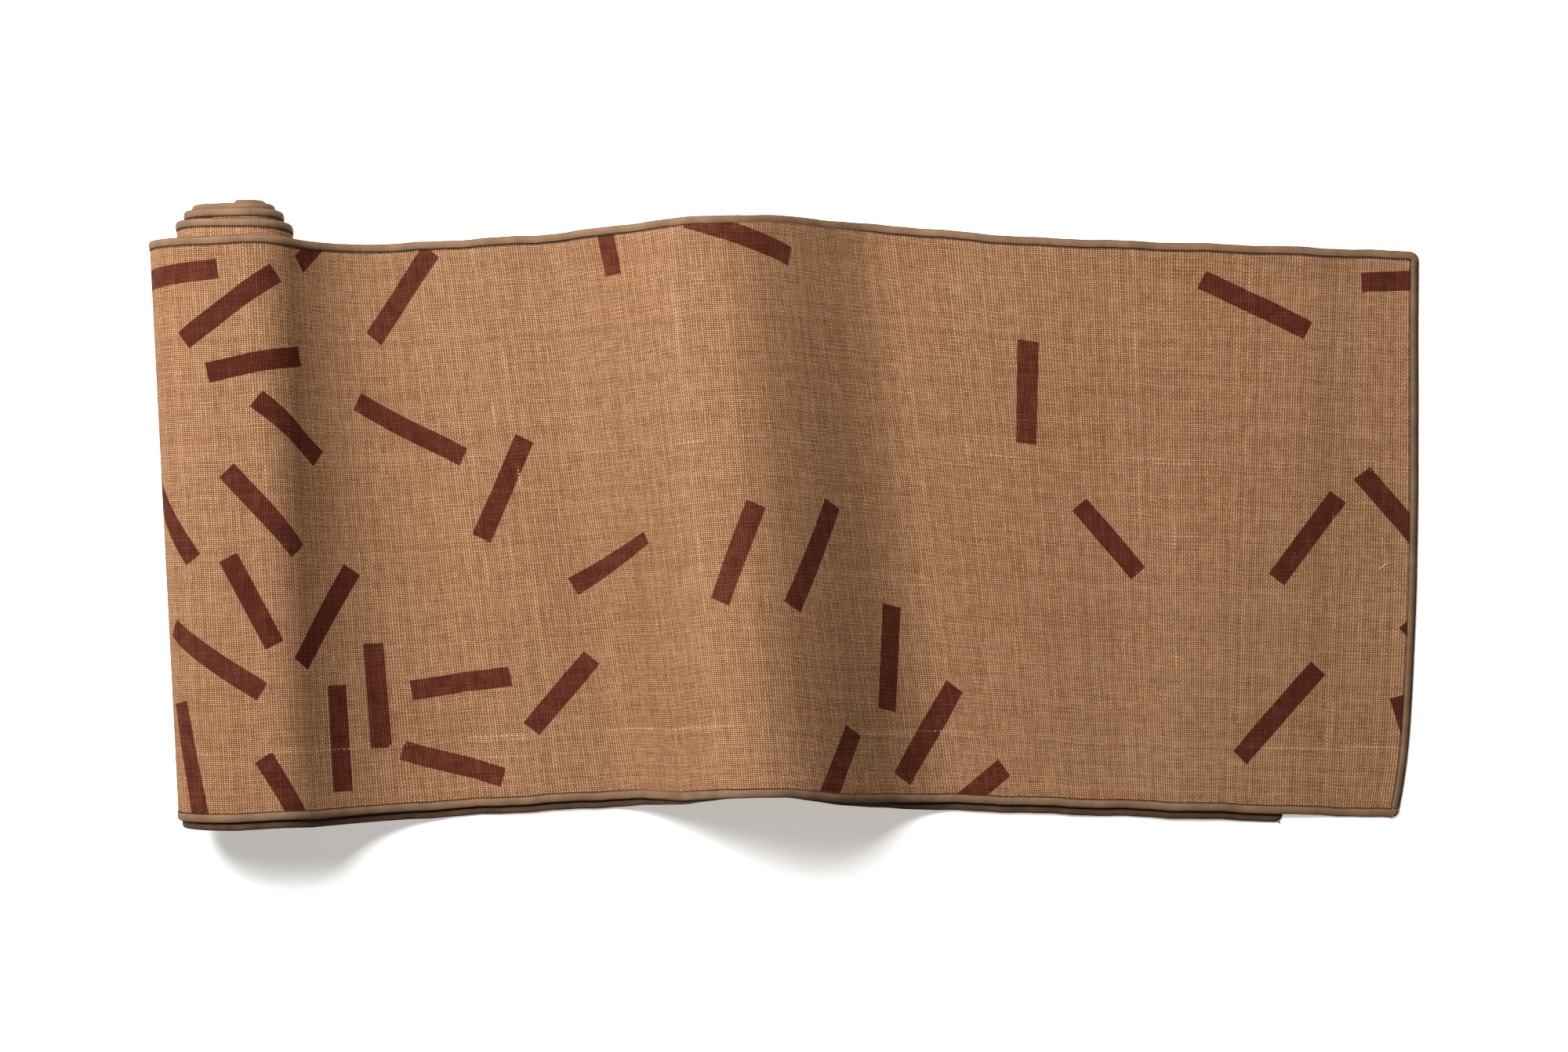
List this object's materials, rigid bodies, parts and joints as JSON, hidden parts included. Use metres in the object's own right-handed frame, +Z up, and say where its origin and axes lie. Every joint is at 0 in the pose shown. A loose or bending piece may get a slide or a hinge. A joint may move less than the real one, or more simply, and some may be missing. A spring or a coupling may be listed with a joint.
{
  "type": "table runner",
  "caption": "Woven linen table runner with overlocked edges, folded double, rolled from the fold at one end and laid out over one soft wave.",
  "frame": {"origin": "middle of the footprint, on the surface that the runner lies on", "axes": "+X along the runner from the roll to the free ends, +Y across it to the far side edge, +Z up"},
  "size_m": [0.7996, 0.3872, 0.0749],
  "materials": {
    "linen_cloth": "coarse natural plain weave, matt, with a dark reddish-brown print of loose bars on one face",
    "looper_thread": "spun brown overlock thread, slight satin sheen",
    "needle_thread": "dark brown sewing thread, matt"
  },
  "bodies": {
    "root": {"cloth_panel": "linen_cloth", "far_side_upper_looper": "looper_thread", "far_side_lower_looper": "looper_thread", "far_side_needle_thread": "needle_thread", "near_side_upper_looper": "looper_thread", "near_side_lower_looper": "looper_thread", "near_side_needle_thread": "needle_thread", "top_end_upper_looper": "looper_thread", "top_end_lower_looper": "looper_thread", "top_end_needle_thread": "needle_thread", "bottom_end_upper_looper": "looper_thread", "bottom_end_lower_looper": "looper_thread", "bottom_end_needle_thread": "needle_thread", "top_far_corner_tail": "looper_thread", "top_near_corner_tail": "looper_thread", "bottom_far_corner_tail": "looper_thread", "bottom_near_corner_tail": "looper_thread"}
  },
  "joints": []
}
